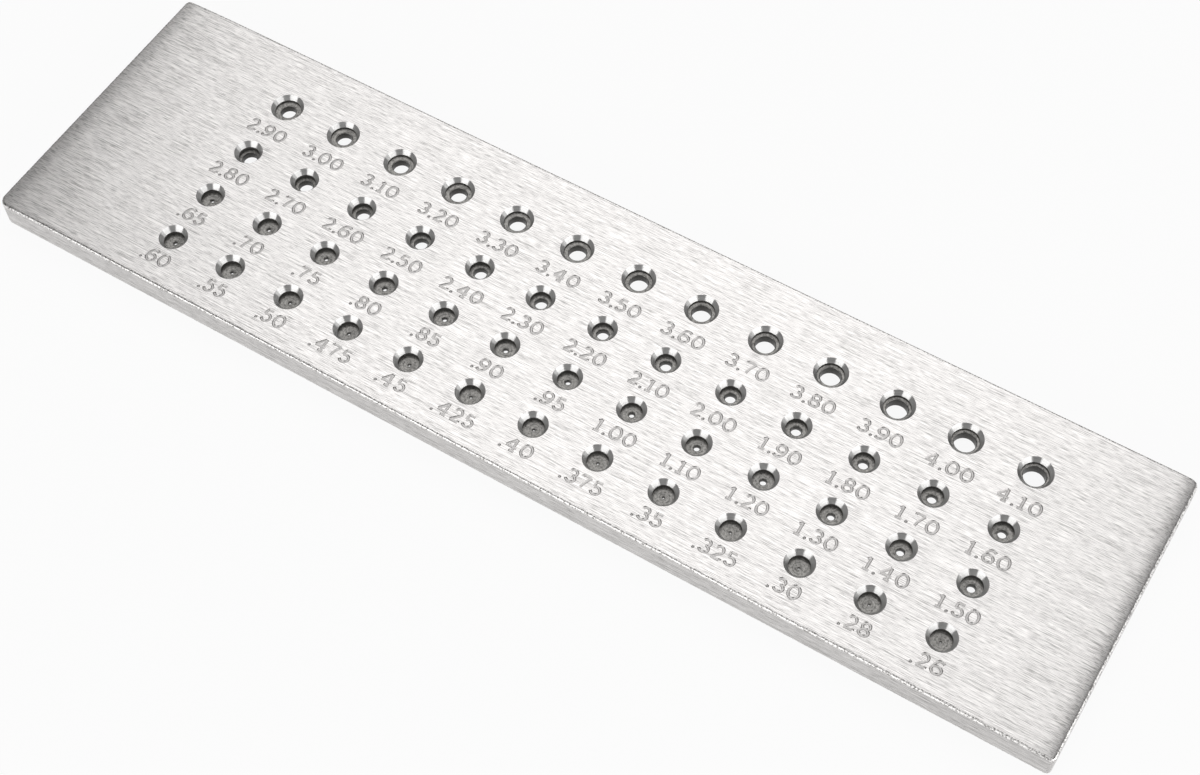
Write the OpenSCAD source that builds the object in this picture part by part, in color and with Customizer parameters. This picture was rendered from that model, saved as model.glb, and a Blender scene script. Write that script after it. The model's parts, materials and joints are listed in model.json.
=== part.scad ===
// Wire draw plate: a flat steel plate that carries four rows of carbide dies.
// Wire is pointed, pushed into a die from the back and pulled out through the
// marked face, one size smaller at each pass. The dies are pressed in from the
// back, so the pull seats each one against a shoulder behind the marked face.
// Origin at the middle of the back face. +X runs along the rows, +Y towards
// the row of the largest dies and +Z out of the marked face. Millimetres.

/* [Plate] */
// Thickness from the back face to the marked face
plate_t = 6; // [5.7:0.1:9]
// Radius of the four upright corners
corner_r = 1; // [1:0.1:5]
// Width of the bevel along the edges of both faces
edge_break = 0.4; // [0.1:0.05:0.8]

/* [Die grid] */
// Distance between neighbouring dies in a row
pitch = 13.4; // [10:0.1:20]
// From the left end of the plate to the first die of a row
left_margin = 34.6; // [8:0.1:60]
// From the last die of a row to the right end of the plate
right_margin = 25.2; // [8:0.1:60]
// From the back edge of the plate to the row of the largest dies
back_margin = 12.9; // [7:0.1:30]
// From the first row to the second
first_row_gap = 12.9; // [10:0.1:20]
// From the second row to the third
second_row_gap = 12.1; // [9:0.1:20]
// From the third row to the fourth
third_row_gap = 11.6; // [9:0.1:20]
// From the fourth row to the front edge of the plate
front_margin = 10.5; // [6:0.1:30]

/* [Large dies, first row] */
// Outside diameter of a large die
large_die_d = 9; // [7.6:0.1:9.4]
// Length of a large die
large_die_l = 4.5; // [3.4:0.1:4.8]
// Diameter of the throat in front of a large die
large_throat_d = 5.1; // [4.8:0.1:6.2]
// Diameter of the countersink over a large die, at the marked face
large_rim_d = 6.5; // [5.6:0.1:7.1]

/* [Small dies, other rows] */
// Outside diameter of a small die
small_die_d = 8; // [6:0.1:8.8]
// Length of a small die
small_die_l = 3.9; // [2.6:0.1:4.6]
// Diameter of the throat in front of a small die
small_throat_d = 4; // [3.4:0.1:5.2]
// Diameter of the countersink over a small die, at the marked face
small_rim_d = 5.6; // [4.6:0.1:6.9]

/* [Seats] */
// Included angle of the countersinks, in degrees
countersink_angle = 78; // [60:1:100]
// How far the back of a die lies below the back face
back_recess = 0.2; // [0:0.05:0.5]
// Radial clearance between a die and its pocket, filled by the pressing
seat_clearance = 0.02; // [0:0.01:0.1]
// Width of the lead-in at the mouth of a pocket
pocket_lead = 0.25; // [0.1:0.05:0.5]

/* [Die bores] */
// Length of the bearing for each millimetre of hole size
bearing_ratio = 0.4; // [0.25:0.05:0.5]
// Width of the relief at the exit of a bore
relief_w = 0.15; // [0.05:0.05:0.25]
// Length of the approach that squeezes the wire
approach_l = 0.35; // [0.1:0.05:0.8]
// Included angle of the approach, in degrees
approach_angle = 16; // [10:1:20]
// Width of the flat land around the wide entry at the back of a die
mouth_land = 0.3; // [0.1:0.05:0.6]
// Width of the bevel on the outside edges of a die
die_bevel = 0.2; // [0.1:0.05:0.4]

/* [Hidden] */
$fn = 96;

// Hole sizes as they are marked, row by row from the back edge and from the
// left. They run to and fro over the plate, so each size lies beside the next.
hole_sizes = [
    [2.90, 3.00, 3.10, 3.20, 3.30, 3.40, 3.50, 3.60, 3.70, 3.80, 3.90, 4.00, 4.10],
    [2.80, 2.70, 2.60, 2.50, 2.40, 2.30, 2.20, 2.10, 2.00, 1.90, 1.80, 1.70, 1.60],
    [0.65, 0.70, 0.75, 0.80, 0.85, 0.90, 0.95, 1.00, 1.10, 1.20, 1.30, 1.40, 1.50],
    [0.60, 0.55, 0.50, 0.475, 0.45, 0.425, 0.40, 0.375, 0.35, 0.325, 0.30, 0.28, 0.26],
];
rows = [0 : len(hole_sizes) - 1];
columns = [0 : len(hole_sizes[0]) - 1];

plate_l = left_margin + pitch * (len(hole_sizes[0]) - 1) + right_margin;
plate_w = back_margin + first_row_gap + second_row_gap + third_row_gap + front_margin;
row_y = [
    plate_w / 2 - back_margin,
    plate_w / 2 - back_margin - first_row_gap,
    front_margin - plate_w / 2 + third_row_gap,
    front_margin - plate_w / 2,
];
overcut = 1;

function column_x(column) = left_margin - plate_l / 2 + column * pitch;

// The first row takes large dies, and the other rows small ones.
function die_d(row) = row == 0 ? large_die_d : small_die_d;
function die_l(row) = row == 0 ? large_die_l : small_die_l;
function throat_d(row) = row == 0 ? large_throat_d : small_throat_d;
function rim_d(row) = row == 0 ? large_rim_d : small_rim_d;
function shoulder_z(row) = back_recess + die_l(row);

// A die is named after its hole: 4.10 mm is die_4_10 and 0.475 mm is die_0_475.
function padded(number, width) =
    len(str(number)) >= width ? str(number) : padded(str("0", number), width);
function decimals(microns) =
    microns % 10 == 0 ? padded(microns / 10, 2) : padded(microns, 3);
function die_name(size) =
    str("die_", floor(size), "_", decimals(round(size * 1000) - 1000 * floor(size)));

// Cross-section of the plate with its edges broken, standing on the back face.
module bevelled_section(width) {
    half = width / 2;
    polygon([
        [edge_break - half, 0], [half - edge_break, 0],
        [half, edge_break], [half, plate_t - edge_break],
        [half - edge_break, plate_t], [edge_break - half, plate_t],
        [-half, plate_t - edge_break], [-half, edge_break],
    ]);
}

// The same section bent round an upright corner.
module corner_post() {
    rotate_extrude()
        intersection() {
            bevelled_section(2 * corner_r);
            square([corner_r, plate_t]);
        }
}

module plate_blank() {
    straight_l = plate_l - 2 * corner_r;
    straight_w = plate_w - 2 * corner_r;
    rotate([90, 0, 90])
        linear_extrude(straight_l, center = true)
            bevelled_section(plate_w);
    rotate([90, 0, 0])
        linear_extrude(straight_w, center = true)
            bevelled_section(plate_l);
    for (x = [-straight_l / 2, straight_l / 2], y = [-straight_w / 2, straight_w / 2])
        translate([x, y, 0])
            corner_post();
}

// What is cut for one die: pocket with lead-in from the back, throat through
// the shoulder, and countersink in the marked face.
module seat_cut(row) {
    pocket_r = die_d(row) / 2 + seat_clearance;
    throat_r = throat_d(row) / 2;
    slope = tan(countersink_angle / 2);
    sink_depth = (rim_d(row) / 2 - throat_r) / slope;
    translate([0, 0, -overcut])
        cylinder(r = pocket_r, h = shoulder_z(row) + overcut);
    translate([0, 0, -overcut])
        cylinder(r1 = pocket_r + pocket_lead + overcut, r2 = pocket_r, h = pocket_lead + overcut);
    translate([0, 0, -overcut])
        cylinder(r = throat_r, h = plate_t + 2 * overcut);
    translate([0, 0, plate_t - sink_depth])
        cylinder(r1 = throat_r, r2 = rim_d(row) / 2 + overcut * slope, h = sink_depth + overcut);
}

module plate() {
    color("#d8d7d4")
        difference() {
            plate_blank();
            for (row = rows, column = columns)
                translate([column_x(column), row_y[row], 0])
                    seat_cut(row);
        }
}

// One die, turned about its hole. From the back: wide entry, short approach,
// bearing and exit relief. Its front face stops on the shoulder of the seat.
module die(row, column) {
    length = die_l(row);
    outside_r = die_d(row) / 2;
    bore_r = hole_sizes[row][column] / 2;
    bearing_top = length - relief_w;
    bearing_bottom = bearing_top - 2 * bore_r * bearing_ratio;
    approach_bottom = bearing_bottom - approach_l;
    approach_r = bore_r + approach_l * tan(approach_angle / 2);
    mouth_r = outside_r - die_bevel - mouth_land;
    color("#84817c")
        translate([column_x(column), row_y[row], back_recess])
            rotate_extrude()
                polygon([
                    [mouth_r, 0], [outside_r - die_bevel, 0],
                    [outside_r, die_bevel], [outside_r, length - die_bevel],
                    [outside_r - die_bevel, length], [bore_r + relief_w, length],
                    [bore_r, bearing_top], [bore_r, bearing_bottom],
                    [approach_r, approach_bottom],
                ]);
}

plate();
for (row = rows, column = columns)
    die(row, column);
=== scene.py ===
import json
import math

import bmesh
import bpy
from mathutils import Matrix, Quaternion, Vector


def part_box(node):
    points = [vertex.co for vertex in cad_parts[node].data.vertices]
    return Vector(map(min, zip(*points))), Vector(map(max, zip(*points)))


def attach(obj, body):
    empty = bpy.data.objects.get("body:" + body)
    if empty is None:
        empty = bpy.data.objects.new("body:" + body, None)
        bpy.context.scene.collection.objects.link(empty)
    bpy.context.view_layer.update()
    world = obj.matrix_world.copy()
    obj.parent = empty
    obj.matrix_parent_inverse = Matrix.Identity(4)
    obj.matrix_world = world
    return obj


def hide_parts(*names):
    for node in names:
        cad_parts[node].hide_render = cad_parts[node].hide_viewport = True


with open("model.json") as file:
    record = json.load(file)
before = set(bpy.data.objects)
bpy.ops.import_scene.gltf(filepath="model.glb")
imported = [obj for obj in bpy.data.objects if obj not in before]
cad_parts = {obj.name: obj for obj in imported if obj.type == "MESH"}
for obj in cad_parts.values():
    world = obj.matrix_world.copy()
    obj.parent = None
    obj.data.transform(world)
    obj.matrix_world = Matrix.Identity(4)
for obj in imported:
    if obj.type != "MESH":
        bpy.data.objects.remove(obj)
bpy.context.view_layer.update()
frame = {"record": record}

mm = 0.001

# Plate blank
# A length of flat tool steel, ground, then brushed along its length and across its ends. Its corners are
# rounded and its edges broken with a file, and a belt has rolled off both ends of the marked face.

plate_low, plate_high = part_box("plate")
plate_size = plate_high - plate_low
plate_middle = (plate_low + plate_high) / 2
marked_face = plate_high.z
front_left, back_left, front_right, back_right = (-1, -1), (-1, 1), (1, -1), (1, 1)
corner_radii = {front_left: 2.2 * mm, back_left: 1.0 * mm, front_right: 1.0 * mm, back_right: 1.4 * mm}
corner_steps = 8
edge_round = 0.45 * mm
edge_steps = 4
edge_land = 0.3 * mm
left_roll_off = {"side": -1, "reach": 18 * mm, "depth": 0.32 * mm, "power": 2}
left_end_roll_off = {"side": -1, "reach": 4.5 * mm, "depth": 0.14 * mm, "power": 2}
right_roll_off = {"side": 1, "reach": 6 * mm, "depth": 0.31 * mm, "power": 4}
roll_off_steps = 9
cut_tolerance = 0.001 * mm
same_place = 0.01 * mm
brushed, brushed_end, filed, brushed_side = range(4)
# How much of its normal a flat face turns up or down, and a side face sideways.
level = 0.999
steep = 0.7

plate_blank = bmesh.new()
bmesh.ops.create_cube(plate_blank, size=1, matrix=Matrix.LocRotScale(plate_middle, None, plate_size))
for (side_x, side_y), corner_radius in corner_radii.items():
    corner = plate_middle + Vector((side_x * plate_size.x, side_y * plate_size.y, 0)) / 2
    upright_edge = [edge for edge in plate_blank.edges
                    if all(math.dist(vertex.co.xy, corner.xy) < same_place for vertex in edge.verts)]
    bmesh.ops.bevel(plate_blank, geom=upright_edge, offset=corner_radius, offset_type="OFFSET",
                    affect="EDGES", segments=corner_steps, profile=0.5, material=-1)
face_edges = [edge for edge in plate_blank.edges
              if any(abs(face.normal.z) > level for face in edge.link_faces)]
broken_edges = bmesh.ops.bevel(plate_blank, geom=face_edges, offset=edge_round, offset_type="OFFSET",
                               affect="EDGES", segments=edge_steps, profile=0.5, material=-1)["faces"]
for face in plate_blank.faces:
    if abs(face.normal.x) > steep:
        face.material_index = brushed_end
    elif abs(face.normal.y) > steep:
        face.material_index = brushed_side
for face in broken_edges:
    face.material_index = filed
flat_faces = [face for face in plate_blank.faces if abs(face.normal.z) > level]
bmesh.ops.inset_region(plate_blank, faces=flat_faces, thickness=edge_land, use_even_offset=True)
for roll_off in (left_roll_off, left_end_roll_off, right_roll_off):
    flat_end = plate_size.x / 2 - roll_off["reach"]
    for step in range(roll_off_steps):
        cut_x = roll_off["side"] * (flat_end + roll_off["reach"] * step / roll_off_steps)
        whole = plate_blank.verts[:] + plate_blank.edges[:] + plate_blank.faces[:]
        bmesh.ops.bisect_plane(plate_blank, geom=whole, dist=cut_tolerance,
                               plane_co=(cut_x, 0, 0), plane_no=(1, 0, 0))
    for vertex in plate_blank.verts:
        share = max(0, roll_off["side"] * vertex.co.x - flat_end) / roll_off["reach"]
        vertex.co.z *= 1 - roll_off["depth"] / plate_size.z * share ** roll_off["power"]

plate = bpy.data.objects.new("draw_plate", bpy.data.meshes.new("draw_plate"))
bpy.context.scene.collection.objects.link(plate)
plate_blank.to_mesh(plate.data)
plate_blank.free()


def add_node(material, kind, inputs=None, **settings):
    """Adds a shader node. Each input takes a plain value or another node's output."""
    added = material.node_tree.nodes.new("ShaderNode" + kind)
    for name, value in settings.items():
        setattr(added, name, value)
    for name, value in (inputs or {}).items():
        if isinstance(value, bpy.types.NodeSocket):
            material.node_tree.links.new(value, added.inputs[name])
        else:
            added.inputs[name].default_value = value
    return added


def metal(name, roughness=0.5, metallic=1.0):
    """A new material of bare metal, and its shader."""
    made = bpy.data.materials.new(name)
    made.use_nodes = True
    shader = made.node_tree.nodes["Principled BSDF"]
    shader.inputs["Metallic"].default_value = metallic
    shader.inputs["Roughness"].default_value = roughness
    return made, shader


def wire(material, output, shader, socket):
    """Runs a node's output into a socket of the shader."""
    material.node_tree.links.new(output, shader.inputs[socket])


def grain(material, *sizes):
    """Noise whose grains have one size, or a size along each of the three axes of the part."""
    place = add_node(material, "TexCoord").outputs["Object"]
    stretch = [1 / size for size in (sizes if len(sizes) == 3 else sizes * 3)]
    stretched = add_node(material, "Mapping", {"Vector": place, "Scale": stretch}).outputs["Vector"]
    return add_node(material, "TexNoise", {"Vector": stretched, "Scale": 1.0, "Detail": 2.0}).outputs["Fac"]


def blend(material, *layers):
    """Adds noise layers up, each given as its output and its share."""
    total = None
    for output, share in layers:
        inputs = {0: output, 1: share, 2: 0.0 if total is None else total}
        total = add_node(material, "Math", inputs, operation="MULTIPLY_ADD").outputs["Value"]
    return total


def spread(material, output, low, high, to_low, to_high):
    """Maps a noise between two levels onto two other levels."""
    inputs = {"Value": output, "From Min": low, "From Max": high, "To Min": to_low, "To Max": to_high}
    return add_node(material, "MapRange", inputs).outputs["Result"]


def tint(material, output, *stops):
    """Colours a noise by stops of level and colour."""
    ramp = add_node(material, "ValToRGB", {"Fac": output})
    while len(ramp.color_ramp.elements) < len(stops):
        ramp.color_ramp.elements.new(0.5)
    for element, (stop_level, colour) in zip(ramp.color_ramp.elements, stops):
        element.position = stop_level
        element.color = (*colour, 1)
    return ramp.outputs["Color"]


def roughen(material, shader, height, strength, depth):
    """Bumps the surface by a noise."""
    bump = add_node(material, "Bump", {"Height": height, "Strength": strength, "Distance": depth})
    wire(material, bump.outputs["Normal"], shader, "Normal")


def brushed_finish(name, brush_axis, dark, middle, light):
    """Steel brushed along an axis of the part: short fine scratches over longer, fainter streaks."""
    finish, shader = metal(name)

    def streaks(length, width):
        sizes = [width] * 3
        sizes["XYZ".index(brush_axis)] = length
        return grain(finish, *sizes)

    scratches = streaks(length=1.8 * mm, width=0.1 * mm)
    short_streaks = streaks(length=7 * mm, width=0.12 * mm)
    long_streaks = streaks(length=30 * mm, width=0.14 * mm)
    marks = blend(finish, (scratches, 0.42), (short_streaks, 0.4), (long_streaks, 0.18))
    colour = tint(finish, marks, (0.39, dark), (0.5, middle), (0.6, light))
    wire(finish, colour, shader, "Base Color")
    roughness = spread(finish, marks, low=0.3, high=0.7, to_low=0.42, to_high=0.26)
    wire(finish, roughness, shader, "Roughness")
    burrs = streaks(length=0.8 * mm, width=0.13 * mm)
    height = blend(finish, (marks, 0.5), (burrs, 0.5))
    roughen(finish, shader, height, strength=1.0, depth=0.03 * mm)
    across = add_node(finish, "Tangent", direction_type="RADIAL", axis=brush_axis)
    wire(finish, across.outputs["Tangent"], shader, "Tangent")
    shader.inputs["Anisotropic"].default_value = 0.7
    return finish


filed_steel, filed_shader = metal("filed_steel", roughness=0.28)
file_marks = grain(filed_steel, 0.35 * mm)
filed_colour = tint(filed_steel, file_marks, (0.36, (0.3, 0.29, 0.283)), (0.56, (0.95, 0.93, 0.915)))
wire(filed_steel, filed_colour, filed_shader, "Base Color")
roughen(filed_steel, filed_shader, file_marks, strength=0.6, depth=0.06 * mm)

bright_tones = {"dark": (0.43, 0.419, 0.411), "middle": (0.81, 0.79, 0.776), "light": (0.97, 0.948, 0.932)}
# The sides and ends take the top's tones darkened by about a quarter: painted shade on the upright faces.
side_shade_tones = {"dark": (0.3, 0.293, 0.287), "middle": (0.6, 0.585, 0.575), "light": (0.78, 0.763, 0.75)}
plate.data.materials.append(brushed_finish("brushed_steel", "X", **bright_tones))
plate.data.materials.append(brushed_finish("brushed_end_steel", "Y", **side_shade_tones))
plate.data.materials.append(filed_steel)
plate.data.materials.append(brushed_finish("brushed_side_steel", "X", **side_shade_tones))

# Die seats
# A stepped hole for each die: a reamed pocket with a lead-in from the back, a shoulder for the die to
# stop on, a drilled throat and a countersink in the marked face, all cut on one axis.

countersink_angle = math.radians(78)
seat_clearance = 0.02 * mm
pocket_lead = 0.25 * mm
overcut = 0.5 * mm
turning_steps = 72
turning_weld = 0.0001 * mm
large_seat = {"throat": 5.1 * mm / 2, "rim": 6.5 * mm / 2}
small_seat = {"throat": 4.0 * mm / 2, "rim": 5.6 * mm / 2}
countersunk, drilled = range(2)

# The radius of each die's hole, by the size it is marked with.
die_sizes = {}
for mount in frame["record"]["mounts"]:
    if mount["name"].startswith("draw_hole_"):
        die_sizes[mount["name"].removeprefix("draw_hole_")] = mount["dims"]["r_mm"] * mm


def row_height(mark):
    """Where the row of a die lies between the front and the back edge."""
    return round(sum(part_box("die_" + mark), Vector()).y / 2, 6)


rows = sorted({row_height(mark) for mark in die_sizes}, reverse=True)


def turned(profile, centre, closed):
    """Turns a profile of radius and height points about an upright axis through centre."""
    lathe = bmesh.new()
    points = [lathe.verts.new((centre.x + radius, centre.y, height)) for radius, height in profile]
    ends = points[1:] + points[:1] if closed else points[1:]
    lines = [lathe.edges.new(pair) for pair in zip(points, ends)]
    bmesh.ops.spin(lathe, geom=points + lines, cent=(centre.x, centre.y, 0), axis=(0, 0, 1),
                   angle=math.tau, steps=turning_steps, use_merge=True)
    bmesh.ops.remove_doubles(lathe, verts=lathe.verts[:], dist=turning_weld)
    bmesh.ops.recalc_face_normals(lathe, faces=lathe.faces[:])
    return lathe


def cut_away(piece, cutter_mesh):
    """Cuts a mesh out of a piece. The new faces keep the cutter's materials."""
    cutter = bpy.data.objects.new("cutter", cutter_mesh)
    bpy.context.scene.collection.objects.link(cutter)
    cut = piece.modifiers.new("cut", "BOOLEAN")
    cut.operation = "DIFFERENCE"
    cut.solver = "MANIFOLD"
    cut.object = cutter
    cut.material_mode = "TRANSFER"
    graph = bpy.context.evaluated_depsgraph_get()
    finished = bpy.data.meshes.new_from_object(piece.evaluated_get(graph))
    piece.modifiers.clear()
    piece.data = finished
    bpy.data.objects.remove(cutter)


countersunk_steel, countersunk_shader = metal("countersunk_steel", roughness=0.28)
turning_rings = grain(countersunk_steel, 6 * mm, 6 * mm, 0.06 * mm)
countersunk_colour = tint(countersunk_steel, turning_rings,
                          (0.3, (0.62, 0.615, 0.605)), (0.7, (0.84, 0.835, 0.825)))
wire(countersunk_steel, countersunk_colour, countersunk_shader, "Base Color")
roughen(countersunk_steel, countersunk_shader, turning_rings, strength=0.25, depth=0.01 * mm)
down_slope = add_node(countersunk_steel, "CombineXYZ", {"Z": 1.0})
wire(countersunk_steel, down_slope.outputs["Vector"], countersunk_shader, "Tangent")
countersunk_shader.inputs["Anisotropic"].default_value = 0.9

# The drilled throat is painted dark grey: painted shade in the narrow throat below the countersink.
shaded_throat_steel, shaded_throat_shader = metal("shaded_throat_steel", roughness=0.6)
drill_rings = grain(shaded_throat_steel, 2 * mm, 2 * mm, 0.1 * mm)
throat_shade_colour = tint(shaded_throat_steel, drill_rings,
                      (0.3, (0.14, 0.137, 0.132)), (0.7, (0.26, 0.255, 0.246)))
wire(shaded_throat_steel, throat_shade_colour, shaded_throat_shader, "Base Color")

seats = bmesh.new()
for mark in die_sizes:
    die_low, die_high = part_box("die_" + mark)
    centre = (die_low + die_high) / 2
    seat = large_seat if row_height(mark) == rows[0] else small_seat
    pocket = (die_high.x - die_low.x) / 2 + seat_clearance
    slope = math.tan(countersink_angle / 2)
    sink_bottom = marked_face - (seat["rim"] - seat["throat"]) / slope
    seat_profile = [
        (0, -overcut), (pocket + pocket_lead + overcut, -overcut),
        (pocket, pocket_lead), (pocket, die_high.z),
        (seat["throat"], die_high.z), (seat["throat"], sink_bottom),
        (seat["rim"] + overcut * slope, marked_face + overcut), (0, marked_face + overcut),
    ]
    seat_cutter = turned(seat_profile, centre, closed=False)
    for face in seat_cutter.faces:
        inside = pocket_lead < face.calc_center_median().z < sink_bottom
        face.material_index = drilled if inside else countersunk
    one_seat = bpy.data.meshes.new("one_seat")
    seat_cutter.to_mesh(one_seat)
    seat_cutter.free()
    seats.from_mesh(one_seat)
    bpy.data.meshes.remove(one_seat)
all_seats = bpy.data.meshes.new("all_seats")
seats.to_mesh(all_seats)
seats.free()
all_seats.materials.append(countersunk_steel)
all_seats.materials.append(shaded_throat_steel)
cut_away(plate, all_seats)

# Size marks
# The hole size in millimetres below each die, engraved into the marked face with a flat-nosed cutter.
# The figures are wide, some with small serifs, and leave out the nought before the point.

figure_height = 2.5 * mm
figure_gap = 0.36
groove_floor = 0.25 * mm
groove_depth = 0.16 * mm
groove_draft = math.radians(45)
groove_reach = 0.1 * mm
groove_weld = 0.0005 * mm
point_width = 0.62 * mm
point_steps = 24
mark_drops = [6.7 * mm, 6.05 * mm, 5.65 * mm, 5.3 * mm]
arc_step = 15
cut_floor, cut_wall = range(2)
facing_down = -0.9
plate_crease = math.radians(32)


def arc(x, y, radius_x, radius_y, start, end):
    """Points on an ellipse between two angles in degrees."""
    count = max(2, round(abs(end - start) / arc_step))
    angles = [math.radians(start + (end - start) * i / count) for i in range(count + 1)]
    return [(x + radius_x * math.cos(a), y + radius_y * math.sin(a)) for a in angles]


# Each figure has its width and its strokes, in shares of the height of a figure.
figures = {
    "0": (0.76, [arc(0.38, 0.5, 0.38, 0.5, 0, 360)]),
    "1": (0.46, [[(0.25, 1), (0.25, 0)], [(0.02, 0.8), (0.12, 0.86), (0.25, 1)], [(0, 0), (0.48, 0)]]),
    "2": (0.64, [arc(0.32, 0.7, 0.29, 0.3, 165, -25) + [(0.3, 0.3), (0.01, 0)], [(0, 0), (0.64, 0)],
                 [(0.64, 0), (0.64, 0.14)]]),
    "3": (0.66, [arc(0.32, 0.755, 0.28, 0.245, 160, -90), arc(0.32, 0.265, 0.34, 0.265, 85, -160)]),
    "4": (0.84, [[(0.56, 1), (0, 0.32)], [(0, 0.32), (0.84, 0.32)], [(0.6, 1), (0.6, 0)],
                 [(0.38, 0), (0.8, 0)]]),
    "5": (0.64, [[(0.1, 1), (0.58, 1)], [(0.1, 1), (0.06, 0.54)],
                 arc(0.3, 0.315, 0.34, 0.315, 135, -155)]),
    "6": (0.72, [arc(0.36, 0.3, 0.36, 0.3, 0, 360), arc(0.46, 0.36, 0.46, 0.64, 180, 55)]),
    "7": (0.64, [[(0, 1), (0.64, 1)], [(0, 1), (0, 0.84)],
                 [(0.64, 1), (0.46, 0.66), (0.32, 0.34), (0.26, 0)]]),
    "8": (0.68, [arc(0.34, 0.76, 0.28, 0.24, 0, 360), arc(0.34, 0.265, 0.34, 0.265, 0, 360)]),
    "9": (0.68, [arc(0.34, 0.7, 0.34, 0.3, 0, 360), arc(0.22, 0.64, 0.46, 0.64, 0, -125)]),
    ".": (0.04, []),
}


def engraved_finish(name, dark, light):
    """Steel left by the cutter, with the marks of its chatter, between the two tones given; the dark tones
    given for the walls are painted shade.
    """
    finish, shader = metal(name, roughness=0.36)
    chatter = grain(finish, 0.2 * mm)
    wire(finish, tint(finish, chatter, (0.3, dark), (0.7, light)), shader, "Base Color")
    return finish


groove_floor_steel = engraved_finish("groove_floor_steel", (0.4, 0.39, 0.383), (0.6, 0.585, 0.575))
# The groove walls are painted near black: painted shade along the walls of each engraved stroke.
groove_wall_shade_steel = engraved_finish("groove_wall_shade_steel", (0.04, 0.039, 0.038), (0.13, 0.127, 0.124))

# The strokes of a figure touch or cross, so each is cut in a pass of its own, over all marks at once.
passes = {}
points = bmesh.new()
point_radius = (point_width ** 2 / 4 + groove_depth ** 2) / (2 * groove_depth)
point_height = marked_face + point_radius - groove_depth
for mark in die_sizes:
    centre = sum(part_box("die_" + mark), Vector()) / 2
    text = mark.replace("_", ".").removeprefix("0")
    text_width = sum(figures[character][0] for character in text) + figure_gap * (len(text) - 1)
    start_x = centre.x - text_width / 2 * figure_height
    base_y = centre.y - mark_drops[rows.index(row_height(mark))] - figure_height / 2
    for character in text:
        width, strokes = figures[character]
        for number, stroke in enumerate(strokes):
            path = [(start_x + x * figure_height, base_y + y * figure_height) for x, y in stroke]
            passes.setdefault(number, []).append(path)
        if character == ".":
            place = Matrix.Translation((start_x + width / 2 * figure_height, base_y, point_height))
            bmesh.ops.create_uvsphere(points, u_segments=point_steps, v_segments=point_steps,
                                      radius=point_radius, matrix=place)
        start_x += (width + figure_gap) * figure_height
point_cutters = bpy.data.meshes.new("point_cutters")
points.to_mesh(point_cutters)
points.free()
point_cutters.materials.append(groove_floor_steel)
cut_away(plate, point_cutters)

groove_top = groove_floor / 2 + (groove_depth + groove_reach) * math.tan(groove_draft)
cutter_outline = [(-groove_floor / 2, -groove_depth), (groove_floor / 2, -groove_depth),
                  (groove_top, groove_reach), (-groove_top, groove_reach)]


def flat_path(name, paths):
    """A flat curve with one run for each path. A path that ends where it starts is closed."""
    curve = bpy.data.curves.new(name, "CURVE")
    curve.dimensions = "2D"
    curve.fill_mode = "NONE"
    for path in paths:
        closed = math.dist(path[0], path[-1]) < same_place
        run = path[:-1] if closed else path
        spline = curve.splines.new("POLY")
        spline.points.add(len(run) - 1)
        for point, (x, y) in zip(spline.points, run):
            point.co = (x, y, 0, 1)
        spline.use_cyclic_u = closed
    return curve


nose_curve = flat_path("cutter_nose", [cutter_outline + cutter_outline[:1]])
cutter_nose = bpy.data.objects.new("cutter_nose", nose_curve)
for paths in passes.values():
    tool_paths = flat_path("tool_paths", paths)
    tool_paths.bevel_mode = "OBJECT"
    tool_paths.bevel_object = cutter_nose
    tool_paths.use_fill_caps = True
    tool_sweep = bpy.data.objects.new("tool_sweep", tool_paths)
    bpy.context.scene.collection.objects.link(tool_sweep)
    graph = bpy.context.evaluated_depsgraph_get()
    swept = bpy.data.meshes.new_from_object(tool_sweep.evaluated_get(graph))
    bpy.data.objects.remove(tool_sweep)
    sweep = bmesh.new()
    sweep.from_mesh(swept)
    bmesh.ops.translate(sweep, verts=sweep.verts[:], vec=(0, 0, marked_face))
    bmesh.ops.remove_doubles(sweep, verts=sweep.verts[:], dist=groove_weld)
    bmesh.ops.recalc_face_normals(sweep, faces=sweep.faces[:])
    for face in sweep.faces:
        face.material_index = cut_floor if face.normal.z < facing_down else cut_wall
    sweep.to_mesh(swept)
    sweep.free()
    swept.materials.clear()
    swept.materials.append(groove_floor_steel)
    swept.materials.append(groove_wall_shade_steel)
    cut_away(plate, swept)
bpy.data.objects.remove(cutter_nose)

plate.data.shade_smooth()
plate.data.set_sharp_from_angle(angle=plate_crease)
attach(plate, "root")
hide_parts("plate")

# Dies
# Turned blanks of sintered carbide, pressed into the seats from the back. From there each bore has a wide
# entry, a short tapered approach, a bearing of the marked size and a small relief. The approach and the
# bearing are painted near black, as painted shade deep in the narrow bore.

bearing_ratio = 0.4
relief_width = 0.15 * mm
approach_length = 0.35 * mm
approach_angle = math.radians(16)
mouth_land = 0.3 * mm
die_bevel = 0.2 * mm
die_edge_round = 0.03 * mm
die_edge_steps = 2
die_edge_bend = math.radians(20)
die_crease = math.radians(50)
lapping_width = 0.2 * mm
carbide_metallic = 0.85

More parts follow.
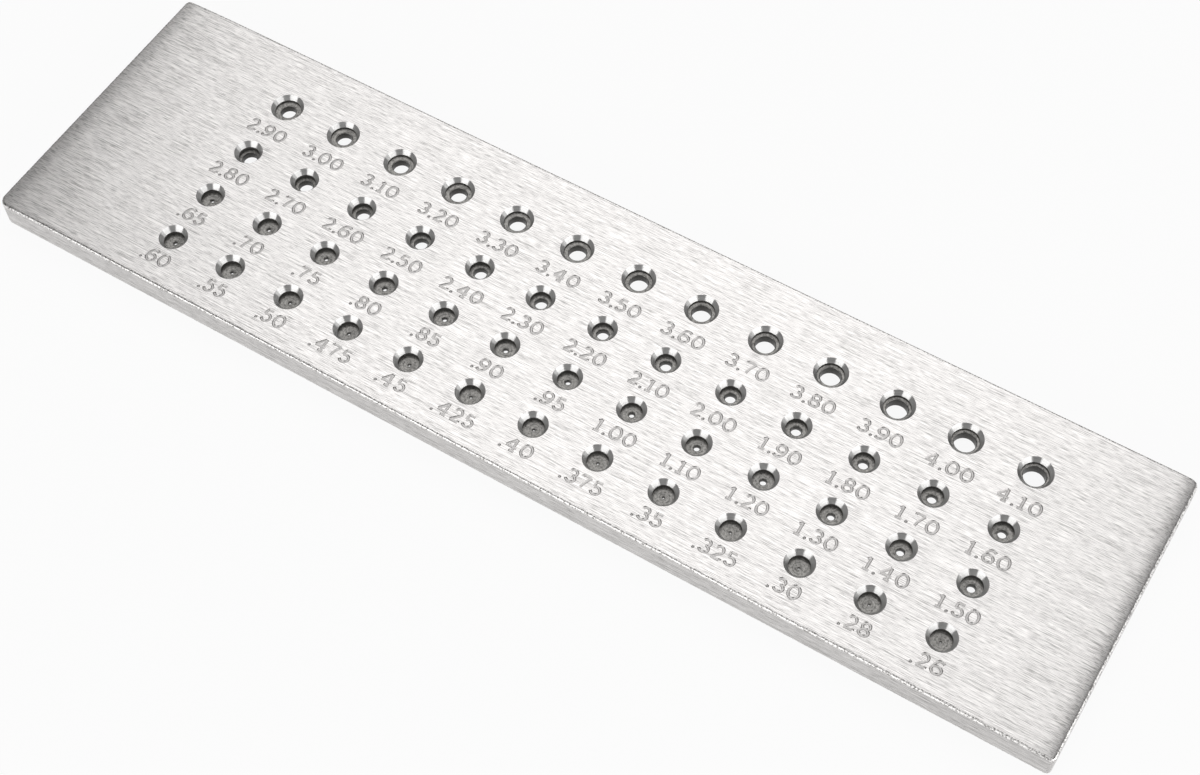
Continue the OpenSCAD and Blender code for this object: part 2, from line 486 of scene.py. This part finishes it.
carbide, carbide_shader = metal("sintered_carbide", metallic=carbide_metallic)
from_axis = add_node(carbide, "Attribute", attribute_type="GEOMETRY", attribute_name="from_axis")
flat_offset = add_node(carbide, "VectorMath", {0: from_axis.outputs["Vector"], 1: (1, 1, 0)},
                       operation="MULTIPLY")
radius_here = add_node(carbide, "VectorMath", {0: flat_offset.outputs["Vector"]}, operation="LENGTH")
lapping_inputs = {"W": radius_here.outputs["Value"], "Scale": 1 / lapping_width, "Detail": 3.0}
lapping = add_node(carbide, "TexNoise", lapping_inputs, noise_dimensions="1D").outputs["Fac"]
sinter_grain = grain(carbide, 0.16 * mm)
mottle = grain(carbide, 0.45 * mm)
carbide_marks = blend(carbide, (lapping, 0.3), (sinter_grain, 0.3), (mottle, 0.4))
carbide_colour = tint(carbide, carbide_marks, (0.4, (0.12, 0.117, 0.112)), (0.61, (0.48, 0.467, 0.445)))
wire(carbide, carbide_colour, carbide_shader, "Base Color")
carbide_roughness = spread(carbide, carbide_marks, low=0.3, high=0.7, to_low=0.34, to_high=0.5)
wire(carbide, carbide_roughness, carbide_shader, "Roughness")
roughen(carbide, carbide_shader, carbide_marks, strength=0.3, depth=0.01 * mm)

# The approach and bearing of each bore are painted near black: painted shade deep in the narrow bore.
shaded_bore_carbide, shaded_bore_shader = metal("shaded_bore_carbide", roughness=0.4, metallic=carbide_metallic)
bore_mottle = grain(shaded_bore_carbide, 0.3 * mm, 0.3 * mm, 0.1 * mm)
bore_shade_colour = tint(shaded_bore_carbide, bore_mottle,
                    (0.3, (0.035, 0.034, 0.032)), (0.7, (0.085, 0.082, 0.078)))
wire(shaded_bore_carbide, bore_shade_colour, shaded_bore_shader, "Base Color")
lapped, shaded_bore = range(2)

for mark, bore in die_sizes.items():
    node = "die_" + mark
    die_low, die_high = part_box(node)
    centre = (die_low + die_high) / 2
    outside = (die_high.x - die_low.x) / 2
    bearing_top = die_high.z - relief_width
    bearing_bottom = bearing_top - 2 * bore * bearing_ratio
    approach_bottom = bearing_bottom - approach_length
    approach = bore + approach_length * math.tan(approach_angle / 2)
    mouth = outside - die_bevel - mouth_land
    die_profile = [
        (mouth, die_low.z), (outside - die_bevel, die_low.z),
        (outside, die_low.z + die_bevel), (outside, die_high.z - die_bevel),
        (outside - die_bevel, die_high.z), (bore + relief_width, die_high.z),
        (bore, bearing_top), (bore, bearing_bottom), (approach, approach_bottom),
    ]
    die_blank = turned(die_profile, centre, closed=True)
    rings = [edge for edge in die_blank.edges
             if abs(edge.verts[0].co.z - edge.verts[1].co.z) < cut_tolerance
             and edge.calc_face_angle(0) > die_edge_bend]
    bmesh.ops.bevel(die_blank, geom=rings, offset=die_edge_round, offset_type="OFFSET", affect="EDGES",
                    segments=die_edge_steps, profile=0.5, material=-1, clamp_overlap=True)
    for face in die_blank.faces:
        place = face.calc_center_median()
        in_bore = approach_bottom < place.z < bearing_top and math.dist(place.xy, centre.xy) < approach
        face.material_index = shaded_bore if in_bore else lapped
    offset = die_blank.verts.layers.float_vector.new("from_axis")
    for vertex in die_blank.verts:
        vertex[offset] = vertex.co - centre
    die = bpy.data.objects.new("carbide_" + node, bpy.data.meshes.new(node))
    bpy.context.scene.collection.objects.link(die)
    die_blank.to_mesh(die.data)
    die_blank.free()
    die.data.materials.append(carbide)
    die.data.materials.append(shaded_bore_carbide)
    die.data.shade_smooth()
    die.data.set_sharp_from_angle(angle=die_crease)
    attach(die, "root")
    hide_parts(node)

# Camera
# Stands in front of the plate and to its right, and looks down on the marked face, a little rolled.

aim = Vector((10.88, -6.86, 6.0)) * mm
view_azimuth = math.radians(32.92)
view_elevation = math.radians(58.06)
view_roll = math.radians(-1.82)
view_distance = 364.2 * mm
camera_data = bpy.data.cameras.new("camera")
camera_data.sensor_width = 36
camera_data.lens = 60.97
camera_data.clip_start = 10 * mm
camera = bpy.data.objects.new("camera", camera_data)
bpy.context.scene.collection.objects.link(camera)
back = Vector((math.sin(view_azimuth) * math.cos(view_elevation),
               -math.cos(view_azimuth) * math.cos(view_elevation), math.sin(view_elevation)))
camera.location = aim + back * view_distance
camera.rotation_mode = "QUATERNION"
camera.rotation_quaternion = back.to_track_quat("Z", "Y") @ Quaternion((0, 0, 1), view_roll)
bpy.context.scene.camera = camera
bpy.context.scene.view_settings.view_transform = "Standard"

# Floor and light
# The plate lies on a wide white floor. A large soft panel hangs above and behind it, and a dimmer one
# above and in front. Two low panels flank the camera, and one stands beyond the right end of the plate.

floor_width = 8.0
floor_colour = (0.9, 0.9, 0.9, 1)
floor_gap = 0.05 * mm
white = (1, 1, 1, 1)
seen_white = 0.92
room_colour = (0.2, 0.2, 0.2, 1)

floor_mesh = bmesh.new()
bmesh.ops.create_grid(floor_mesh, x_segments=1, y_segments=1, size=floor_width / 2)
bmesh.ops.translate(floor_mesh, verts=floor_mesh.verts[:], vec=(0, 0, -floor_gap))
floor = bpy.data.objects.new("floor", bpy.data.meshes.new("floor"))
bpy.context.scene.collection.objects.link(floor)
floor_mesh.to_mesh(floor.data)
floor_mesh.free()

# The camera and reflections see the floor nearly white, and from below it is clear.
white_floor = bpy.data.materials.new("white_floor")
white_floor.use_nodes = True
white_floor.node_tree.nodes.clear()
paper = add_node(white_floor, "BsdfDiffuse", {"Color": floor_colour}).outputs["BSDF"]
lit = add_node(white_floor, "Emission", {"Color": white, "Strength": 1.0}).outputs["Emission"]
rays = add_node(white_floor, "LightPath").outputs
mirrored = add_node(white_floor, "Math", {0: rays["Is Glossy Ray"], 1: rays["Is Transmission Ray"]},
                    operation="MAXIMUM").outputs["Value"]
seen = add_node(white_floor, "Math", {0: rays["Is Camera Ray"], 1: mirrored},
                operation="MAXIMUM").outputs["Value"]
white_share = add_node(white_floor, "Math", {0: seen, 1: seen_white}, operation="MULTIPLY").outputs["Value"]
from_above = add_node(white_floor, "MixShader", {0: white_share, 1: paper, 2: lit}).outputs["Shader"]
below = add_node(white_floor, "NewGeometry").outputs["Backfacing"]
clear = add_node(white_floor, "BsdfTransparent").outputs["BSDF"]
one_sided = add_node(white_floor, "MixShader", {0: below, 1: from_above, 2: clear}).outputs["Shader"]
add_node(white_floor, "OutputMaterial", {"Surface": one_sided})
floor.data.materials.append(white_floor)

world = bpy.data.worlds.new("studio")
world.use_nodes = True
world.node_tree.nodes["Background"].inputs["Color"].default_value = room_colour
bpy.context.scene.world = world


def panel(name, place, width, height, brightness):
    """A soft panel with its middle at a place, turned towards the plate."""
    lamp = bpy.data.lights.new(name, "AREA")
    lamp.shape = "RECTANGLE"
    lamp.size = width
    lamp.size_y = height
    lamp.energy = brightness * math.pi * width * height
    holder = bpy.data.objects.new(name, lamp)
    bpy.context.scene.collection.objects.link(holder)
    holder.location = place
    holder.rotation_euler = place.to_track_quat("Z", "Y").to_euler()
    holder.visible_camera = False


# Where the panels stand, in metres: out towards the camera, aside to its right, and up.
out = Vector((math.sin(view_azimuth), -math.cos(view_azimuth), 0))
aside = Vector((math.cos(view_azimuth), math.sin(view_azimuth), 0))
up = Vector((0, 0, 1))
back_aside = 0.06
front_out = 0.4
front_up = 0.9
stand_distance = 0.7
stand_turn = math.radians(49.5)
stand_height = 0.22
beside = Vector((0.85, 0.44, 0.29))

behind = math.cos(view_elevation) * -out + math.sin(view_elevation) * up
panel("back_panel", behind + back_aside * aside, width=0.9, height=0.9, brightness=1.25)
panel("front_panel", front_out * out + front_up * up, width=1.2, height=0.8, brightness=0.5)
for name, side in (("left_panel", -1), ("right_panel", 1)):
    turned_out = math.cos(stand_turn) * out + side * math.sin(stand_turn) * aside
    stand = stand_distance * turned_out + stand_height * up
    panel(name, stand, width=0.638, height=0.4, brightness=2.0)
panel("side_panel", beside, width=0.5, height=0.4, brightness=1.0)
